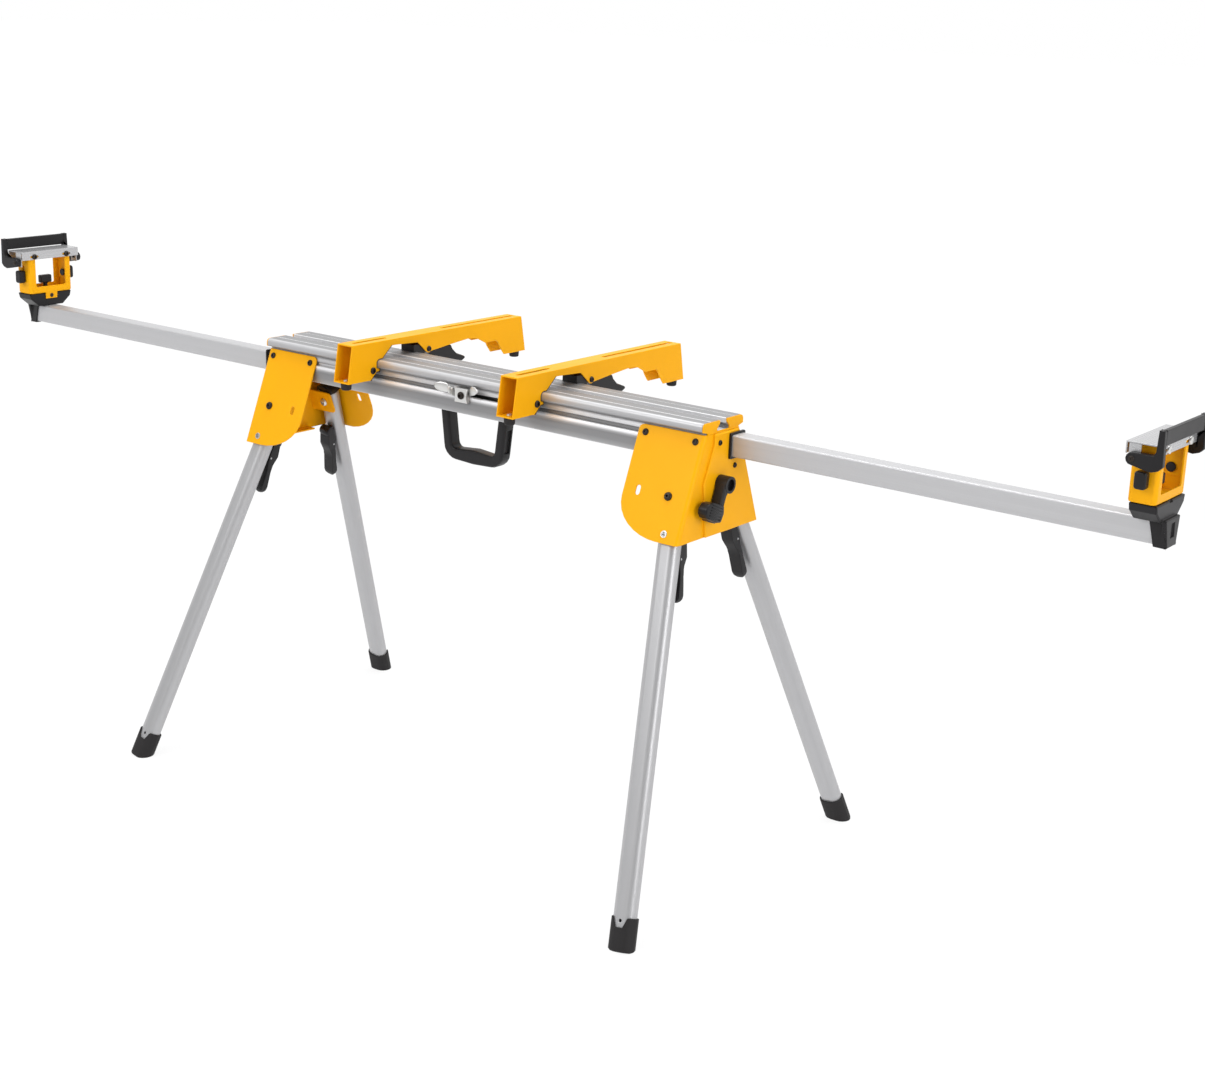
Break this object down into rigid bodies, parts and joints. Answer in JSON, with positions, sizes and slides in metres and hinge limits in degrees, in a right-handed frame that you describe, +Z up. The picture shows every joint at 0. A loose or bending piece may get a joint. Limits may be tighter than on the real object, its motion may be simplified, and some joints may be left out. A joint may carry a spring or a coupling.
{
  "type": "miter saw stand",
  "caption": "Folding miter saw stand: slotted aluminium beam on splayed tube legs, sliding saw mounting arms, and pull-out material supports with flip stops at both ends.",
  "frame": {"origin": "on the floor, under the middle of the beam", "axes": "+X along the beam to the right-hand extension, +Y to the back where the saw arms reach further, +Z up"},
  "size_m": [2.518, 0.7025, 0.9025],
  "materials": {
    "bright": "satin mill finish",
    "yellow": "glossy powder coat",
    "black": "fine moulded texture",
    "rubber": "matt",
    "zinc": "zinc plated",
    "dark": "blackened steel"
  },
  "bodies": {
    "stand_frame": {"beam": "bright", "bracket_left": "yellow", "bracket_right": "yellow", "tube_collar_left": "black", "tube_collar_right": "black", "carry_handle": "black", "centre_clip": "bright", "centre_clip_bolt": "dark"},
    "extension_left": {"extension_tube_left": "bright", "end_bracket_left": "black", "support_frame_left": "yellow"},
    "support_lift_left": {"support_carrier_left": "yellow", "support_top_left": "bright"},
    "flip_stop_left": {"flip_stop_left": "black"},
    "height_knob_left_rear": {"height_knob_left_rear": "black"},
    "height_knob_left_front": {"height_knob_left_front": "black"},
    "swivel_knob_left": {"swivel_knob_left": "black"},
    "cam_lever_left": {"cam_lever_left": "black"},
    "saw_arm_left": {"saw_arm_left": "yellow", "arm_jaw_left": "black", "ear_bolt_left": "dark", "arm_bumper_left_front": "rubber", "arm_bumper_left_rear": "rubber"},
    "arm_clamp_lever_left": {"arm_clamp_lever_left": "black"},
    "leg_left_rear": {"leg_tube_left_rear": "bright", "leg_plug_left_rear": "black", "leg_foot_left_rear": "rubber"},
    "leg_lever_left_rear": {"leg_lever_left_rear": "black"},
    "lock_pin_left_rear": {"lock_pin_left_rear": "zinc"},
    "leg_left_front": {"leg_tube_left_front": "bright", "leg_plug_left_front": "black", "leg_foot_left_front": "rubber"},
    "leg_lever_left_front": {"leg_lever_left_front": "black"},
    "lock_pin_left_front": {"lock_pin_left_front": "zinc"},
    "extension_right": {"extension_tube_right": "bright", "end_bracket_right": "black", "support_frame_right": "yellow"},
    "support_lift_right": {"support_carrier_right": "yellow", "support_top_right": "bright"},
    "flip_stop_right": {"flip_stop_right": "black"},
    "height_knob_right_front": {"height_knob_right_front": "black"},
    "height_knob_right_rear": {"height_knob_right_rear": "black"},
    "swivel_knob_right": {"swivel_knob_right": "black"},
    "cam_lever_right": {"cam_lever_right": "black"},
    "saw_arm_right": {"saw_arm_right": "yellow", "arm_jaw_right": "black", "ear_bolt_right": "dark", "arm_bumper_right_front": "rubber", "arm_bumper_right_rear": "rubber"},
    "arm_clamp_lever_right": {"arm_clamp_lever_right": "black"},
    "leg_right_front": {"leg_tube_right_front": "bright", "leg_plug_right_front": "black", "leg_foot_right_front": "rubber"},
    "leg_lever_right_front": {"leg_lever_right_front": "black"},
    "lock_pin_right_front": {"lock_pin_right_front": "zinc"},
    "leg_right_rear": {"leg_tube_right_rear": "bright", "leg_plug_right_rear": "black", "leg_foot_right_rear": "rubber"},
    "leg_lever_right_rear": {"leg_lever_right_rear": "black"},
    "lock_pin_right_rear": {"lock_pin_right_rear": "zinc"}
  },
  "joints": [
    {"name": "extension_slide_left", "type": "slide", "parent": "stand_frame", "child": "extension_left", "axis": [1, 0, 0], "range_m": [0, 0.68]},
    {"name": "support_height_left", "type": "slide", "parent": "extension_left", "child": "support_lift_left", "axis": [0, 0, 1], "range_m": [0, 0.014]},
    {"name": "flip_stop_hinge_left", "type": "hinge", "parent": "support_lift_left", "child": "flip_stop_left", "pos_m": [-1.214, -0.0305, 0.857], "axis": [0, 1, 0], "range_deg": [0, 180]},
    {"name": "height_knob_turn_left_rear", "type": "hinge", "parent": "support_lift_left", "child": "height_knob_left_rear", "pos_m": [-1.224, 0.0223, 0.825], "axis": [0, 1, 0], "range_deg": [-180, 180]},
    {"name": "height_knob_turn_left_front", "type": "hinge", "parent": "support_lift_left", "child": "height_knob_left_front", "pos_m": [-1.224, -0.0833, 0.825], "axis": [0, 1, 0], "range_deg": [-180, 180]},
    {"name": "swivel_knob_turn_left", "type": "hinge", "parent": "extension_left", "child": "swivel_knob_left", "pos_m": [-1.224, -0.0305, 0.789], "axis": [0, 0, 1], "range_deg": [-180, 180]},
    {"name": "cam_lever_hinge_left", "type": "hinge", "parent": "stand_frame", "child": "cam_lever_left", "pos_m": [-0.5133, 0.011, 0.6855], "axis": [-1, 0, 0], "range_deg": [-75, 0]},
    {"name": "saw_arm_slide_left", "type": "slide", "parent": "stand_frame", "child": "saw_arm_left", "axis": [1, 0, 0], "range_m": [-0.111, 0.128]},
    {"name": "arm_clamp_hinge_left", "type": "hinge", "parent": "saw_arm_left", "child": "arm_clamp_lever_left", "pos_m": [-0.234, 0.0795, 0.792], "axis": [1, 0, 0], "range_deg": [-45, 0]},
    {"name": "leg_fold_left_rear", "type": "hinge", "parent": "stand_frame", "child": "leg_left_rear", "pos_m": [-0.4675, 0.06946, 0.66127], "axis": [0.0363, -0.9289, -0.3685], "range_deg": [0, 99.29]},
    {"name": "leg_lever_hinge_left_rear", "type": "hinge", "parent": "leg_left_rear", "child": "leg_lever_left_rear", "pos_m": [-0.48285, 0.08209, 0.56557], "axis": [0.9869, 0.0587, -0.1506], "range_deg": [0, 6.5], "stiffness_Nm_per_rad": 1.2, "springref_deg": -6.88},
    {"name": "lock_pin_slide_left_rear", "type": "slide", "parent": "leg_left_rear", "child": "lock_pin_left_rear", "axis": [0, -0.9317, -0.3633], "range_m": [0, 0.0039]},
    {"name": "leg_fold_left_front", "type": "hinge", "parent": "stand_frame", "child": "leg_left_front", "pos_m": [-0.4675, -0.06946, 0.66127], "axis": [0.0363, -0.9332, 0.3575], "range_deg": [0, 99.29]},
    {"name": "leg_lever_hinge_left_front", "type": "hinge", "parent": "leg_left_front", "child": "leg_lever_left_front", "pos_m": [-0.48285, -0.08209, 0.56557], "axis": [-0.9869, 0.0587, 0.1506], "range_deg": [0, 6.5], "stiffness_Nm_per_rad": 1.2, "springref_deg": -6.88},
    {"name": "lock_pin_slide_left_front", "type": "slide", "parent": "leg_left_front", "child": "lock_pin_left_front", "axis": [0, 0.9317, -0.3633], "range_m": [0, 0.0039]},
    {"name": "extension_slide_right", "type": "slide", "parent": "stand_frame", "child": "extension_right", "axis": [-1, 0, 0], "range_m": [0, 0.68]},
    {"name": "support_height_right", "type": "slide", "parent": "extension_right", "child": "support_lift_right", "axis": [0, 0, 1], "range_m": [0, 0.014]},
    {"name": "flip_stop_hinge_right", "type": "hinge", "parent": "support_lift_right", "child": "flip_stop_right", "pos_m": [1.214, 0.0305, 0.857], "axis": [0, -1, 0], "range_deg": [0, 180]},
    {"name": "height_knob_turn_right_front", "type": "hinge", "parent": "support_lift_right", "child": "height_knob_right_front", "pos_m": [1.224, -0.0223, 0.825], "axis": [0, 1, 0], "range_deg": [-180, 180]},
    {"name": "height_knob_turn_right_rear", "type": "hinge", "parent": "support_lift_right", "child": "height_knob_right_rear", "pos_m": [1.224, 0.0833, 0.825], "axis": [0, 1, 0], "range_deg": [-180, 180]},
    {"name": "swivel_knob_turn_right", "type": "hinge", "parent": "extension_right", "child": "swivel_knob_right", "pos_m": [1.224, 0.0305, 0.789], "axis": [0, 0, 1], "range_deg": [-180, 180]},
    {"name": "cam_lever_hinge_right", "type": "hinge", "parent": "stand_frame", "child": "cam_lever_right", "pos_m": [0.5133, -0.011, 0.6855], "axis": [1, 0, 0], "range_deg": [-75, 0]},
    {"name": "saw_arm_slide_right", "type": "slide", "parent": "stand_frame", "child": "saw_arm_right", "axis": [1, 0, 0], "range_m": [-0.075, 0.19]},
    {"name": "arm_clamp_hinge_right", "type": "hinge", "parent": "saw_arm_right", "child": "arm_clamp_lever_right", "pos_m": [0.153, 0.0795, 0.792], "axis": [1, 0, 0], "range_deg": [-45, 0]},
    {"name": "leg_fold_right_front", "type": "hinge", "parent": "stand_frame", "child": "leg_right_front", "pos_m": [0.4675, -0.06946, 0.66127], "axis": [-0.0363, 0.9289, -0.3685], "range_deg": [0, 99.29]},
    {"name": "leg_lever_hinge_right_front", "type": "hinge", "parent": "leg_right_front", "child": "leg_lever_right_front", "pos_m": [0.48285, -0.08209, 0.56557], "axis": [-0.9869, -0.0587, -0.1506], "range_deg": [0, 6.5], "stiffness_Nm_per_rad": 1.2, "springref_deg": -6.88},
    {"name": "lock_pin_slide_right_front", "type": "slide", "parent": "leg_right_front", "child": "lock_pin_right_front", "axis": [0, 0.9317, -0.3633], "range_m": [0, 0.0039]},
    {"name": "leg_fold_right_rear", "type": "hinge", "parent": "stand_frame", "child": "leg_right_rear", "pos_m": [0.4675, 0.06946, 0.66127], "axis": [-0.0363, 0.9332, 0.3575], "range_deg": [0, 99.29]},
    {"name": "leg_lever_hinge_right_rear", "type": "hinge", "parent": "leg_right_rear", "child": "leg_lever_right_rear", "pos_m": [0.48285, 0.08209, 0.56557], "axis": [0.9869, -0.0587, 0.1506], "range_deg": [0, 6.5], "stiffness_Nm_per_rad": 1.2, "springref_deg": -6.88},
    {"name": "lock_pin_slide_right_rear", "type": "slide", "parent": "leg_right_rear", "child": "lock_pin_right_rear", "axis": [0, -0.9317, -0.3633], "range_m": [0, 0.0039]}
  ],
  "couplings": [
    {"joint": "lock_pin_slide_left_front", "follows": "leg_lever_hinge_left_front", "m_per_rad": 0.0335},
    {"joint": "lock_pin_slide_left_rear", "follows": "leg_lever_hinge_left_rear", "m_per_rad": 0.0335},
    {"joint": "lock_pin_slide_right_front", "follows": "leg_lever_hinge_right_front", "m_per_rad": 0.0335},
    {"joint": "lock_pin_slide_right_rear", "follows": "leg_lever_hinge_right_rear", "m_per_rad": 0.0335}
  ]
}
